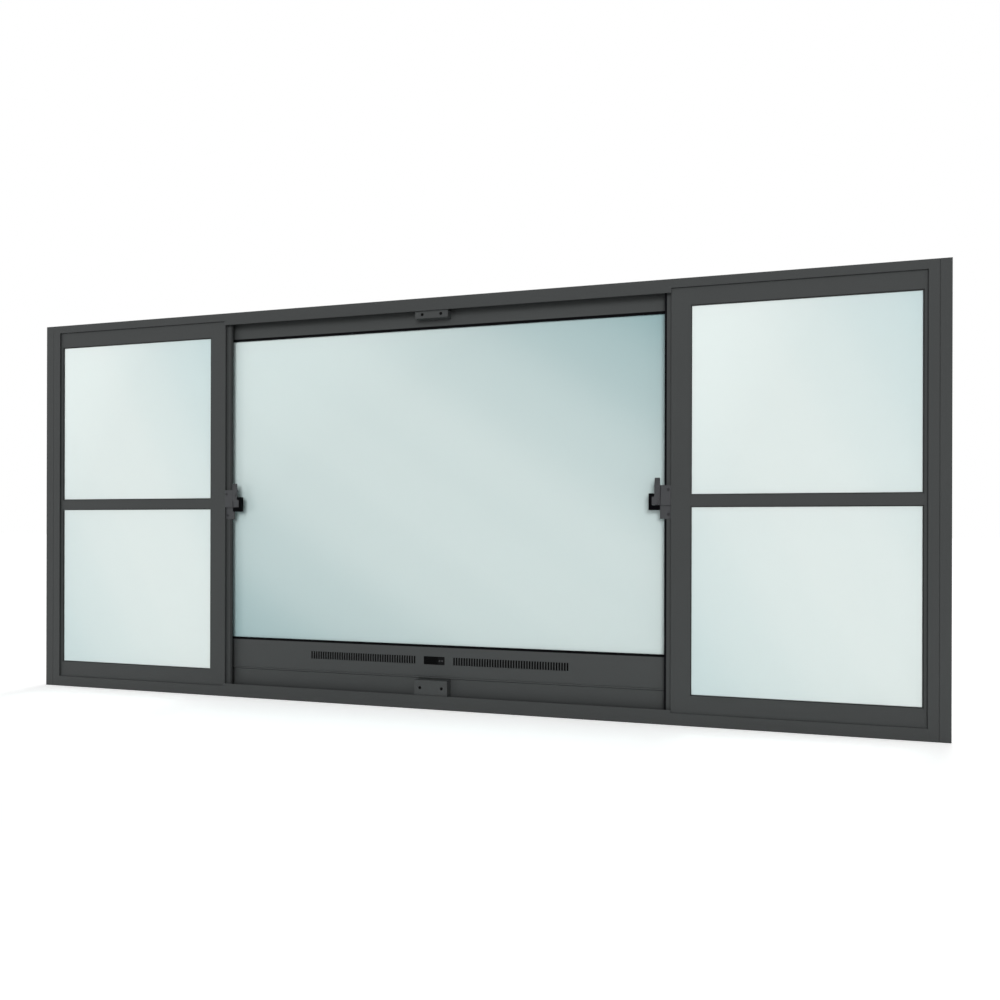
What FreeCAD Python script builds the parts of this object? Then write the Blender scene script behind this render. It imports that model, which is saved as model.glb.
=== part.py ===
"""Three-part sliding window: a fixed centre light over a ventilation unit, and a sliding sash each side.

Frame: +X to the right and -Y to the front as the window is seen from the room, +Z up.
The origin is the middle of the sill's underside. Lengths are in millimetres.
"""
import FreeCAD, Part
import Sketcher
import math
import os
import re

doc = FreeCAD.newDocument("sliding_window")
sheet = doc.addObject("Spreadsheet::Sheet", "sheet")

# Driving dimensions, each with its own cell
SIZES = [
    # the whole window
    ("width", 2860), ("height", 1250), ("depth", 120),
    # outer frame: hollow box and rear lip of each profile, and the front faces that cover the running gap
    ("frame_wall", 3), ("frame_box", 14), ("rear_lip", 30), ("jamb_lip", 56),
    ("head_cover", 38), ("head_relief", 13), ("sill_cover", 42), ("sill_relief", 8),
    ("shadow_place", 29), ("shadow_width", 2.4), ("shadow_depth", 1.2),
    ("frame_rib", 3), ("front_rib_inset", 40), ("rear_rib_inset", 19),
    # wall fixings in the jambs
    ("fixing_radius", 4), ("fixing_inset", 11), ("fixing_end", 200),
    # sliding sash
    ("running_gap", 3), ("lift_gap", 9), ("sash_depth", 28), ("sash_wall", 2.5),
    ("bay", 712), ("outer_stile", 42.5), ("outer_stile_place", 22), ("meeting_stile", 54),
    ("top_rail", 51.5), ("bottom_rail", 58), ("glazing_bar", 31), ("bar_height", 629), ("sash_base", 26),
    ("roller_room", 26),
    ("interlock_set", 10), ("interlock", 13), ("interlock_wall", 3), ("seal_width", 6), ("seal_depth", 7),
    # glazing of the sashes
    ("pocket", 12), ("glass_bite", 9), ("pane", 4), ("sash_gasket", 2), ("sash_sight", 3),
    ("gasket_bite", 7), ("spacer_bar", 6), ("joint_gap", 0.2),
    # rollers and their track
    ("track_base", 16), ("track_foot", 2), ("track_blade", 3), ("track_height", 10),
    ("wheel_tread", 10), ("wheel_flange", 13), ("wheel_width", 9), ("tread_width", 3.6),
    ("axle_radius", 2.5), ("wheel_inset", 70), ("wheel_gap", 0.1),
    # fixed centre light
    ("centre_depth", 60), ("centre_wall", 3), ("centre_stile", 45), ("centre_edge", 700),
    ("rail_recess", 12), ("rail_top", 24), ("rail_bottom", 79),
    ("unit_depth", 24), ("centre_gasket", 4), ("centre_sight", 7), ("edge_gap", 3),
    ("bead_gasket", 3), ("centre_spacer", 8), ("block_length", 100), ("block_inset", 230),
    # ventilation unit under the centre light
    ("panel_top", 184), ("panel_groove", 94), ("panel_step", 90), ("panel_set", 3),
    ("slot_width", 5.2), ("slot_height", 24), ("slot_pitch", 8.2), ("slot_count", 44),
    ("slot_start", 62), ("slot_level", 143), ("filter_depth", 15), ("filter_margin", 8),
    ("screen_width", 68), ("screen_height", 25), ("screen_round", 2), ("screen_gap", 0.3),
    ("screen_flange", 5), ("screen_depth", 12),
    # stop blocks in the middle of the track
    ("stop_width", 106), ("top_stop_place", 37), ("top_stop_height", 23),
    ("low_stop_place", 40), ("low_stop_height", 47), ("stop_round", 2.5),
    ("stop_screw", 2.6), ("stop_screw_head", 4.8), ("stop_screw_sink", 3),
    ("top_screw_spacing", 60), ("low_screw_spacing", 70),
    # latch on each meeting stile: plate, case, finger lever and the catch round the lever's tip
    ("latch_place", 578), ("latch_plate_width", 31), ("latch_plate_height", 95), ("latch_plate", 4),
    ("latch_screw", 2.2), ("latch_screw_head", 4.2), ("latch_screw_sink", 2.4),
    ("latch_screw_place", 7), ("latch_screw_end", 13),
    ("case_rise", 39), ("case_width", 46), ("case_depth", 8), ("case_step_depth", 5), ("case_chamfer", 1.5),
    ("lever_width", 16), ("lever_rise", 21), ("lever_thick", 5), ("lever_taper", 1.5), ("lever_gap", 0.5),
    ("tip_reach", 7), ("tip_height", 23), ("tip_heel", 6), ("boss_radius", 5.5), ("boss_height", 2),
    ("boss_rise", 15), ("latch_round", 1.5),
    ("catch_rise", 25), ("catch_width", 16), ("catch_height", 47), ("catch_gap", 0.3), ("catch_proud", 1),
]

# Sketches are drawn on a ring this large, then pulled to their sizes
START_RADIUS = 100


def words(expression):
    """Points each name in an expression at its cell."""
    return re.sub(r"[a-z_]+", lambda name: "sheet." + name.group(), expression)


def fill_sheet():
    for row, (alias, value) in enumerate(SIZES, start=1):
        sheet.set(f"A{row}", alias)
        sheet.set(f"B{row}", str(value))
        sheet.setAlias(f"B{row}", alias)
    doc.recompute()


def origin_plane(body, role):
    return next(item for item in body.Origin.OriginFeatures if item.Role == role)


def new_body(label):
    body = doc.addObject("PartDesign::Body", label)
    body.Label = label
    return body


def add_loop(sketch, corners):
    """Draws a closed outline and holds each corner by two sizes measured from the origin."""
    count = len(corners)
    first = sketch.GeometryCount
    turns = [2 * math.pi * i / count for i in range(count)]
    ring = [FreeCAD.Vector(START_RADIUS * math.cos(turn), START_RADIUS * math.sin(turn), 0) for turn in turns]
    for i in range(count):
        sketch.addGeometry(Part.LineSegment(ring[i], ring[(i + 1) % count]), False)
    for i in range(count):
        sketch.addConstraint(Sketcher.Constraint("Coincident", first + i, 2, first + (i + 1) % count, 1))
    for i, corner in enumerate(corners):
        for kind, value, expression in zip(("DistanceX", "DistanceY"), ring[i][:2], corner):
            index = sketch.addConstraint(Sketcher.Constraint(kind, first + i, 1, value))
            sketch.setExpression(f"Constraints[{index}]", words(expression))


def add_circle(sketch, across, up, radius):
    circle = sketch.addGeometry(Part.Circle(FreeCAD.Vector(1, 1, 0), FreeCAD.Vector(0, 0, 1), 1), False)
    for kind, place, expression in (("DistanceX", 3, across), ("DistanceY", 3, up)):
        index = sketch.addConstraint(Sketcher.Constraint(kind, circle, place, 1))
        sketch.setExpression(f"Constraints[{index}]", words(expression))
    index = sketch.addConstraint(Sketcher.Constraint("Radius", circle, 1))
    sketch.setExpression(f"Constraints[{index}]", words(radius))


def new_sketch(body, name, role, offset="0"):
    """Adds a sketch on one of the body's own planes, moved along that plane's normal."""
    sketch = body.newObject("Sketcher::SketchObject", name)
    sketch.AttachmentSupport = [(origin_plane(body, role), "")]
    sketch.MapMode = "FlatFace"
    sketch.setExpression("AttachmentOffset.Base.z", words(offset))
    return sketch


def rectangle(left, right, low, high):
    return [(left, low), (right, low), (right, high), (left, high)]


def pad(body, name, role, loops, length, offset="0", both_ways=False, reverse=False):
    """Extrudes outlines, one solid outline and the hollows inside it."""
    sketch = new_sketch(body, name + "_outline", role, offset)
    for corners in loops:
        add_loop(sketch, corners)
    feature = body.newObject("PartDesign::Pad", name)
    feature.Profile = sketch
    feature.setExpression("Length", words(length))
    feature.SideType = "Symmetric" if both_ways else "One side"
    feature.Reversed = reverse
    body.Tip = feature
    return feature


def pocket(body, name, sketch, length=None):
    """Cuts a sketch's outlines to a depth, or right through."""
    feature = body.newObject("PartDesign::Pocket", name)
    feature.Profile = sketch
    if length is None:
        feature.Type = "ThroughAll"
    else:
        feature.setExpression("Length", words(length))
    body.Tip = feature
    return feature


def screw_holes(body, face, places, radius, head_radius, sink):
    """Clearance holes right through from a front face, each with a sunk seat for the screw's head."""
    for name, size, depth in (("screw_hole", radius, None), ("screw_seat", head_radius, sink)):
        circles = new_sketch(body, name + "_outline", "XZ_Plane", f"-({face})")
        for across, up in places:
            add_circle(circles, across, up, size)
        pocket(body, name, circles, depth)


def fillet(body, name, radius, wanted):
    """Rounds the edges of the body that the test picks."""
    doc.recompute()
    base = body.Tip
    picked = [f"Edge{i}" for i, edge in enumerate(base.Shape.Edges, start=1) if wanted(edge)]
    feature = body.newObject("PartDesign::Fillet", name)
    feature.Base = (base, picked)
    feature.setExpression("Radius", words(radius))
    body.Tip = feature
    return feature


def along(edge, axis):
    """True for a straight edge that runs along the given axis."""
    if not isinstance(edge.Curve, Part.Line):
        return False
    return abs(edge.tangentAt(edge.FirstParameter).dot(axis)) > 0.999


def box(label, low, size):
    """A block from its lowest corner and its three lengths."""
    piece = doc.addObject("Part::Box", label)
    piece.Label = label
    for axis, place in zip("xyz", low):
        piece.setExpression(f"Placement.Base.{axis}", words(place))
    for side, length in zip(("Length", "Width", "Height"), size):
        piece.setExpression(side, words(length))
    return piece


def group(label, pieces):
    """Like pieces that share one node without touching."""
    whole = doc.addObject("Part::Compound", label)
    whole.Label = label
    whole.Links = pieces
    return whole


def mirrored(piece, label):
    """The same piece on the other side of the window's middle plane."""
    twin = doc.addObject("Part::Mirroring", label)
    twin.Label = label
    twin.Source = piece
    twin.Normal = FreeCAD.Vector(1, 0, 0)
    return twin


X_AXIS, Y_AXIS, Z_AXIS = FreeCAD.Vector(1, 0, 0), FreeCAD.Vector(0, 1, 0), FreeCAD.Vector(0, 0, 1)

# Planes that more than one piece shares, as expressions
LEFT = "-width / 2"
FRONT = "-depth / 2"
BACK = "depth / 2"
LIP_BACK = "-depth / 2 + frame_wall"
SASH_FRONT = "-depth / 2 + frame_wall + running_gap"
SASH_BACK = "-depth / 2 + frame_wall + running_gap + sash_depth"
SASH_MIDDLE = "-depth / 2 + frame_wall + running_gap + sash_depth / 2"
CENTRE_FRONT = "-depth / 2 + frame_wall + 2 * running_gap + sash_depth"
CENTRE_BACK = CENTRE_FRONT + " + centre_depth"
GLASS_FRONT = CENTRE_FRONT + " + centre_wall + centre_gasket"
GLASS_BACK = GLASS_FRONT + " + unit_depth"
BEAD_FRONT = GLASS_BACK + " + bead_gasket"


# Three hollows in the box of each outer profile, front to rear, with a rib between them
CHAMBERS = (
    ("-depth / 2 + 2 * frame_wall", "-depth / 2 + front_rib_inset"),
    ("-depth / 2 + front_rib_inset + frame_rib", "depth / 2 - rear_rib_inset - frame_rib"),
    ("depth / 2 - rear_rib_inset", "depth / 2 - 2 * frame_wall"),
)


def frame_jamb():
    """Jamb: hollow box with a wide front lip, grooved for a shadow line, and a short rear lip."""
    body = new_body("frame_jamb_left")
    edge = LEFT + " + "
    groove = edge + "shadow_place"
    contour = [
        (LEFT, FRONT), (groove + " - shadow_width / 2", FRONT), (groove, FRONT + " + shadow_depth"),
        (groove + " + shadow_width / 2", FRONT), (edge + "jamb_lip", FRONT), (edge + "jamb_lip", LIP_BACK),
        (edge + "frame_box", LIP_BACK), (edge + "frame_box", BACK + " - frame_wall"),
        (edge + "rear_lip", BACK + " - frame_wall"), (edge + "rear_lip", BACK), (LEFT, BACK),
    ]
    loops = [contour]
    for front, rear in CHAMBERS:
        loops.append(rectangle(edge + "frame_wall", edge + "frame_box - frame_wall", front, rear))
    pad(body, "profile", "XY_Plane", loops, "height")
    holes = new_sketch(body, "fixing_outline", "YZ_Plane")
    for level in ("fixing_end", "height - fixing_end"):
        add_circle(holes, "depth / 2 - fixing_inset", level, "fixing_radius")
    pocket(body, "fixing_holes", holes)
    return body


def level(base, distance):
    """A height measured inwards from the sill's underside or the head's top."""
    return f"height - ({distance})" if base == "head" else distance


def frame_bar(base):
    """Head or sill: hollow box between the jambs, with a rear lip."""
    body = new_body("frame_" + base)
    loops = [rectangle(LIP_BACK, "depth / 2 - frame_wall", level(base, "0"), level(base, "frame_box"))]
    for front, rear in CHAMBERS:
        loops.append(rectangle(front, rear, level(base, "frame_wall"), level(base, "frame_box - frame_wall")))
    pad(body, "profile", "YZ_Plane", loops, "width - 2 * frame_box", both_ways=True)
    lip = rectangle("-(width / 2 - rear_lip)", "width / 2 - rear_lip",
                    level(base, "0"), level(base, "rear_lip"))
    pad(body, "rear_lip", "XZ_Plane", [lip], "frame_wall", offset="-(depth / 2 - frame_wall)", reverse=True)
    return body


def cover_strip(base):
    """Front strip on the head or sill between the jambs' lips, cut back in front of the two sashes."""
    body = new_body(base + "_strip")
    wide, cut_back = level(base, base + "_cover"), level(base, f"{base}_cover - {base}_relief")
    end, bay_end = "width / 2 - jamb_lip", "width / 2 - bay"
    outline = [
        (f"-({end})", level(base, "0")), (end, level(base, "0")), (end, cut_back), (bay_end, cut_back),
        (bay_end, wide), (f"-({bay_end})", wide), (f"-({bay_end})", cut_back), (f"-({end})", cut_back),
    ]
    pad(body, "strip", "XZ_Plane", [outline], "frame_wall", offset="depth / 2 - frame_wall")
    return body


def roller_track():
    """Rail with a narrow blade that the sash rollers straddle, on the sill from jamb to jamb."""
    body = new_body("roller_track")
    foot_front, foot_back = SASH_MIDDLE + " - track_base / 2", SASH_MIDDLE + " + track_base / 2"
    blade_front, blade_back = SASH_MIDDLE + " - track_blade / 2", SASH_MIDDLE + " + track_blade / 2"
    foot_top, blade_top = "frame_box + track_foot", "frame_box + track_height"
    section = [
        (foot_front, "frame_box"), (foot_back, "frame_box"), (foot_back, foot_top), (blade_back, foot_top),
        (blade_back, blade_top), (blade_front, blade_top), (blade_front, foot_top), (foot_front, foot_top),
    ]
    pad(body, "rail", "YZ_Plane", [section], "width - 2 * frame_box", both_ways=True)
    return body


def centre_stile():
    """Upright profile of the fixed light, with the rebate for its glass on the inner side."""
    body = new_body("centre_stile_left")
    edge = LEFT + " + centre_edge"
    wall = "centre_wall"
    contour = [
        (f"{edge} - centre_stile", CENTRE_FRONT), (edge, CENTRE_FRONT), (edge, f"{CENTRE_FRONT} + {wall}"),
        (f"{edge} - pocket", f"{CENTRE_FRONT} + {wall}"), (f"{edge} - pocket", CENTRE_BACK),
        (f"{edge} - centre_stile", CENTRE_BACK),
    ]
    hollow = rectangle(f"{edge} - centre_stile + {wall}", f"{edge} - pocket - {wall}",
                       f"{CENTRE_FRONT} + {wall}", f"{CENTRE_BACK} - {wall}")
    pad(body, "profile", "XY_Plane", [contour, hollow], "height - 2 * frame_box", offset="frame_box")
    return body


def centre_top_rail():
    """Top profile of the fixed light, set back above its face and with the glass rebate below."""
    body = new_body("centre_top_rail")
    wall = "centre_wall"
    step = CENTRE_FRONT + " + rail_recess"
    under = "height - rail_bottom + pocket"
    contour = [
        (step, "height - frame_box"), (CENTRE_BACK, "height - frame_box"), (CENTRE_BACK, under),
        (f"{CENTRE_FRONT} + {wall}", under), (f"{CENTRE_FRONT} + {wall}", "height - rail_bottom"),
        (CENTRE_FRONT, "height - rail_bottom"), (CENTRE_FRONT, "height - rail_top"),
        (step, "height - rail_top"),
    ]
    roof, ledge = f"height - frame_box - {wall}", f"height - rail_top - {wall}"
    hollow = [
        (f"{step} + {wall}", roof), (f"{CENTRE_BACK} - {wall}", roof),
        (f"{CENTRE_BACK} - {wall}", f"{under} + {wall}"), (f"{CENTRE_FRONT} + {wall}", f"{under} + {wall}"),
        (f"{CENTRE_FRONT} + {wall}", ledge), (f"{step} + {wall}", ledge),
    ]
    pad(body, "profile", "YZ_Plane", [contour, hollow], "width - 2 * centre_edge", both_ways=True)
    return body


SLOT_SPAN = "slot_pitch * (slot_count - 1)"
SLOT_ROWS = (("right", "slot_start"), ("left", f"-slot_start - slot_width - {SLOT_SPAN}"))


def vent_slots(body, offset, depth):
    """Two rows of upright slots, each cut once at its left end and repeated along the row."""
    for side, start in SLOT_ROWS:
        first = new_sketch(body, "slot_outline_" + side, "XZ_Plane", offset)
        add_loop(first, rectangle(start, f"{start} + slot_width",
                                  "slot_level - slot_height / 2", "slot_level + slot_height / 2"))
        cut = pocket(body, "slot_" + side, first, depth)
        row = body.newObject("PartDesign::LinearPattern", "slot_row_" + side)
        row.Originals = [cut]
        row.Direction = (first, ["H_Axis"])
        row.setExpression("Length", words(SLOT_SPAN))
        row.setExpression("Occurrences", words("slot_count"))
        body.Tip = row


def ventilation_panel():
    """Front plate of the ventilation unit, with its vent slots, display window and shadow groove."""
    body = new_body("ventilation_panel")
    face, wall = CENTRE_FRONT, "centre_wall"
    contour = [
        (face, "panel_top"), (face, "panel_groove + shadow_width / 2"),
        (f"{face} + shadow_depth", "panel_groove"), (face, "panel_groove - shadow_width / 2"),
        (face, "panel_step"), (f"{face} + panel_set", "panel_step - panel_set"),
        (f"{face} + panel_set", "frame_box"), (f"{face} + panel_set + {wall}", "frame_box"),
        (f"{face} + panel_set + {wall}", "panel_step - panel_set"),
        (f"{face} + {wall}", "panel_step"), (f"{face} + {wall}", "panel_top"),
    ]
    pad(body, "plate", "YZ_Plane", [contour], "width - 2 * centre_edge", both_ways=True)
    offset = f"-({CENTRE_FRONT})"
    vent_slots(body, offset, "centre_wall * 2")
    window = new_sketch(body, "screen_outline", "XZ_Plane", offset)
    add_loop(window, rectangle("-screen_width / 2", "screen_width / 2",
                               "slot_level - screen_height / 2", "slot_level + screen_height / 2"))
    pocket(body, "screen_window", window, "centre_wall * 2")
    fillet(body, "window_corners", "screen_round",
           lambda edge: along(edge, Y_AXIS) and abs(edge.CenterOfMass.x) < float(sheet.slot_start))
    return body


def ventilation_housing():
    """Duct behind the panel: carries the glass on its top wall and breathes through its rear wall."""
    body = new_body("ventilation_housing")
    wall = "centre_wall"
    top = "panel_top - pocket"
    low_front = f"{CENTRE_FRONT} + panel_set + {wall}"
    contour = [
        (low_front, "frame_box"), (CENTRE_BACK, "frame_box"), (CENTRE_BACK, top),
        (f"{CENTRE_FRONT} + {wall}", top),
        (f"{CENTRE_FRONT} + {wall}", f"{top} - {wall}"), (f"{CENTRE_BACK} - {wall}", f"{top} - {wall}"),
        (f"{CENTRE_BACK} - {wall}", f"frame_box + {wall}"), (low_front, f"frame_box + {wall}"),
    ]
    pad(body, "duct", "YZ_Plane", [contour], "width - 2 * centre_edge", both_ways=True)
    offset = f"-({CENTRE_BACK} - centre_wall)"
    vent_slots(body, offset, "centre_wall * 2")
    return body


def vent_filters():
    """Dark filter pads that lie against the back of the panel, one behind each row of slots."""
    length = SLOT_SPAN + " + slot_width + 2 * filter_margin"
    place = CENTRE_FRONT + " + centre_wall"
    level = "slot_level - slot_height / 2 - filter_margin"
    size = (length, "filter_depth", "slot_height + 2 * filter_margin")
    right = box("filter_right", ("slot_start - filter_margin", place, level), size)
    left = box("filter_left", (f"-slot_start + filter_margin - ({length})", place, level), size)
    return group("vent_filters", [left, right])


def display_module():
    """Display that fills its window and bears with a flange on the back of the panel."""
    body = new_body("display_module")
    half_wide, half_high = "(screen_width / 2 - screen_gap)", "(screen_height / 2 - screen_gap)"
    screen = rectangle(f"-{half_wide}", half_wide, f"slot_level - {half_high}", f"slot_level + {half_high}")
    behind = f"-({CENTRE_FRONT} + centre_wall)"
    pad(body, "screen", "XZ_Plane", [screen], "centre_wall", offset=behind)
    fillet(body, "screen_corners", "screen_round", lambda edge: along(edge, Y_AXIS))
    wide, high = "(screen_width / 2 + screen_flange)", "(screen_height / 2 + screen_flange)"
    flange = rectangle(f"-{wide}", wide, f"slot_level - {high}", f"slot_level + {high}")
    pad(body, "flange", "XZ_Plane", [flange], "screen_depth", offset=behind, reverse=True)
    return body


def centre_glass():
    """Two sheets of the centre double glazing."""
    left = "-width / 2 + centre_edge - pocket + edge_gap"
    low = "panel_top - pocket + edge_gap"
    size = (f"-2 * ({left})", "pane", f"height - rail_bottom + pocket - edge_gap - ({low})")
    front = box("centre_sheet_front", (left, GLASS_FRONT, low), size)
    back = box("centre_sheet_back", (left, GLASS_BACK + " - pane", low), size)
    return group("centre_glass", [front, back])


def ring(label, left, right, low, high, front, thick, wide):
    """Four strips round an opening, the upright ones between the level ones."""
    span, rise = f"({right}) - ({left})", f"({high}) - ({low})"
    side_low, side_rise = f"{low} + {wide} + joint_gap", f"{rise} - 2 * ({wide}) - 2 * joint_gap"
    return [
        box(label + "_low", (left, front, low), (span, thick, wide)),
        box(label + "_high", (left, front, f"{high} - ({wide})"), (span, thick, wide)),
        box(label + "_left", (left, front, side_low), (wide, thick, side_rise)),
        box(label + "_right", (f"{right} - ({wide})", front, side_low), (wide, thick, side_rise)),
    ]


def centre_glass_spacer():
    """Spacer bars between the sheets of the centre light."""
    left = "-width / 2 + centre_edge - pocket + edge_gap"
    strips = ring("centre_spacer", left, f"-({left})", "panel_top - pocket + edge_gap",
                  "height - rail_bottom + pocket - edge_gap", GLASS_FRONT + " + pane",
                  "unit_depth - 2 * pane", "centre_spacer")
    return group("centre_glass_spacer", strips)


def centre_gaskets():
    """Front gasket in sight round the centre glass, and the rear gasket behind the beads."""
    sight = "centre_sight"
    left = "-width / 2 + centre_edge"
    front = ring("front_gasket", left, f"-({left})", "panel_top", "height - rail_bottom",
                 CENTRE_FRONT, "centre_wall + centre_gasket", sight)
    rear = ring("rear_gasket", left + " - gasket_bite", f"-({left} - gasket_bite)", "panel_top - gasket_bite",
                "height - rail_bottom + gasket_bite", GLASS_BACK, "bead_gasket", "gasket_bite")
    return group("centre_gaskets", front + rear)


def centre_glazing_beads():
    """Rear beads that hold the glass: level ones between full-height upright ones."""
    deep = f"{CENTRE_BACK} - ({BEAD_FRONT})"
    edge = "-width / 2 + centre_edge"
    span = "width - 2 * centre_edge - 2 * joint_gap"
    upright = ("pocket", deep, "height - 2 * frame_box")
    pieces = [
        box("bead_low", (edge + " + joint_gap", BEAD_FRONT, "panel_top - pocket"), (span, deep, "pocket")),
        box("bead_high", (edge + " + joint_gap", BEAD_FRONT, "height - rail_bottom"), (span, deep, "pocket")),
        box("bead_left", (edge + " - pocket", BEAD_FRONT, "frame_box"), upright),
        box("bead_right", (f"-({edge})", BEAD_FRONT, "frame_box"), upright),
    ]
    return group("centre_glazing_beads", pieces)


def glass_setting_blocks():
    """Blocks that carry the centre glass on the duct's top wall."""
    low = "panel_top - pocket"
    size = ("block_length", "unit_depth", "edge_gap")
    middle = "(width / 2 - centre_edge - block_inset)"
    pieces = [box(f"setting_block_{side}", (f"{sign}{middle} - block_length / 2", GLASS_FRONT, low), size)
              for side, sign in (("left", "-"), ("right", ""))]
    return group("glass_setting_blocks", pieces)


def stop_block(label, low, tall, back, spacing):
    """Block in the middle of the track that ends the travel of both sashes, drilled for two screws."""
    body = new_body(label)
    front = SASH_FRONT
    plan = rectangle("-stop_width / 2", "stop_width / 2", low, f"{low} + {tall}")
    pad(body, "block", "XZ_Plane", [plan], f"({back}) - ({front})", offset=f"-({back})")
    fillet(body, "rounded_corners", "stop_round", lambda edge: along(edge, Y_AXIS))
    places = [(f"{side} {spacing} / 2", f"{low} + ({tall}) / 2") for side in ("-", "")]
    screw_holes(body, front, places, "stop_screw", "stop_screw_head", "stop_screw_sink")
    return body


def stop_blocks():
    top_low = "height - top_stop_place - top_stop_height"
    top = stop_block("stop_block_top", top_low, "top_stop_height", CENTRE_FRONT, "top_screw_spacing")
    low = stop_block("stop_block_bottom", "low_stop_place", "low_stop_height", CENTRE_FRONT + " + panel_set",
                     "low_screw_spacing")
    return group("stop_blocks", [top, low])


SASH_TOP = "height - frame_box - lift_gap"
SASH_HEIGHT = SASH_TOP + " - sash_base"
OUTER_EDGE = "-width / 2 + outer_stile_place"
OUTER_SIGHT = "-width / 2 + outer_stile_place + outer_stile"
MEETING_EDGE = "-width / 2 + bay"
MEETING_SIGHT = "-width / 2 + bay - meeting_stile"
RAIL_LENGTH = "bay - meeting_stile - outer_stile_place - outer_stile"
UPPER_SIGHT = SASH_TOP + " - top_rail"
LOWER_SIGHT = "sash_base + bottom_rail"
BAR_LOW = "bar_height - glazing_bar / 2"
BAR_HIGH = "bar_height + glazing_bar / 2"
INNER_FRONT = SASH_FRONT + " + sash_wall"
INNER_BACK = SASH_BACK + " - sash_wall"
FIN_FRONT = SASH_FRONT + " + interlock_set"
FIN_BACK = FIN_FRONT + " + interlock_wall"


def sash_stile(label, contour, hollow):
    body = new_body(label)
    pad(body, "profile", "XY_Plane", [contour, hollow], SASH_HEIGHT, offset="sash_base")
    return body


def sash_outer_stile():
    """Stile beside the jamb, with the glazing pocket on its inner side."""
    pocket_floor = OUTER_SIGHT + " - pocket"
    contour = [
        (OUTER_EDGE, SASH_FRONT), (OUTER_SIGHT, SASH_FRONT), (OUTER_SIGHT, INNER_FRONT),
        (pocket_floor, INNER_FRONT), (pocket_floor, INNER_BACK), (OUTER_SIGHT, INNER_BACK),
        (OUTER_SIGHT, SASH_BACK), (OUTER_EDGE, SASH_BACK),
    ]
    hollow = rectangle(OUTER_EDGE + " + sash_wall", pocket_floor + " - sash_wall", INNER_FRONT, INNER_BACK)
    return sash_stile("sash_left_outer_stile", contour, hollow)


def sash_meeting_stile():
    """Stile beside the fixed light, with the interlock fin that laps over the fixed light's stile."""
    fin, pocket_floor = MEETING_EDGE + " + interlock", MEETING_SIGHT + " + pocket"
    contour = [
        (MEETING_SIGHT, SASH_FRONT), (MEETING_EDGE, SASH_FRONT), (MEETING_EDGE, FIN_FRONT),
        (fin, FIN_FRONT), (fin, FIN_BACK), (MEETING_EDGE, FIN_BACK), (MEETING_EDGE, SASH_BACK),
        (MEETING_SIGHT, SASH_BACK), (MEETING_SIGHT, INNER_BACK), (pocket_floor, INNER_BACK),
        (pocket_floor, INNER_FRONT), (MEETING_SIGHT, INNER_FRONT),
    ]
    hollow = rectangle(pocket_floor + " + sash_wall", MEETING_EDGE + " - sash_wall", INNER_FRONT, INNER_BACK)
    return sash_stile("sash_left_meeting_stile", contour, hollow)


def sash_rail(label, contour, hollow):
    body = new_body(label)
    pad(body, "profile", "YZ_Plane", [contour, hollow], RAIL_LENGTH, offset=OUTER_SIGHT)
    return body


def sash_top_rail():
    """Upper rail, with the glazing pocket on its underside."""
    floor = UPPER_SIGHT + " + pocket"
    contour = [
        (SASH_FRONT, UPPER_SIGHT), (INNER_FRONT, UPPER_SIGHT), (INNER_FRONT, floor), (INNER_BACK, floor),
        (INNER_BACK, UPPER_SIGHT), (SASH_BACK, UPPER_SIGHT), (SASH_BACK, SASH_TOP), (SASH_FRONT, SASH_TOP),
    ]
    hollow = rectangle(INNER_FRONT, INNER_BACK, floor + " + sash_wall", SASH_TOP + " - sash_wall")
    return sash_rail("sash_left_top_rail", contour, hollow)


def sash_bottom_rail():
    """Lower rail, open below so that the rollers stand inside it."""
    floor = LOWER_SIGHT + " - pocket"
    roof = "sash_base + roller_room"
    contour = [
        (SASH_FRONT, "sash_base"), (INNER_FRONT, "sash_base"), (INNER_FRONT, roof), (INNER_BACK, roof),
        (INNER_BACK, "sash_base"), (SASH_BACK, "sash_base"), (SASH_BACK, LOWER_SIGHT),
        (INNER_BACK, LOWER_SIGHT), (INNER_BACK, floor), (INNER_FRONT, floor),
        (INNER_FRONT, LOWER_SIGHT), (SASH_FRONT, LOWER_SIGHT),
    ]
    hollow = rectangle(INNER_FRONT, INNER_BACK, roof + " + sash_wall", floor + " - sash_wall")
    return sash_rail("sash_left_bottom_rail", contour, hollow)


def sash_glazing_bar():
    """Bar across the sash, with a glazing pocket above and below."""
    contour = [
        (SASH_FRONT, BAR_LOW), (INNER_FRONT, BAR_LOW), (INNER_FRONT, BAR_LOW + " + pocket"),
        (INNER_BACK, BAR_LOW + " + pocket"), (INNER_BACK, BAR_LOW),
        (SASH_BACK, BAR_LOW), (SASH_BACK, BAR_HIGH),
        (INNER_BACK, BAR_HIGH), (INNER_BACK, BAR_HIGH + " - pocket"), (INNER_FRONT, BAR_HIGH + " - pocket"),
        (INNER_FRONT, BAR_HIGH), (SASH_FRONT, BAR_HIGH),
    ]
    hollow = rectangle(INNER_FRONT, INNER_BACK,
                       BAR_LOW + " + pocket + sash_wall", BAR_HIGH + " - pocket - sash_wall")
    return sash_rail("sash_left_glazing_bar", contour, hollow)


PANES = (("lower", LOWER_SIGHT, BAR_LOW), ("upper", BAR_HIGH, UPPER_SIGHT))
UNIT_FRONT = INNER_FRONT + " + sash_gasket"
UNIT_BACK = INNER_BACK + " - sash_gasket"


def sash_glass():
    """Two sheets for each of the sash's two panes."""
    left, length = f"{OUTER_SIGHT} - glass_bite", f"{RAIL_LENGTH} + 2 * glass_bite"
    sheets = []
    for name, low, high in PANES:
        size = (length, "pane", f"{high} + glass_bite - ({low} - glass_bite)")
        for side, place in (("front", UNIT_FRONT), ("back", UNIT_BACK + " - pane")):
            sheets.append(box(f"sash_sheet_{name}_{side}", (left, place, f"{low} - glass_bite"), size))
    return group("sash_left_glass", sheets)


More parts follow.
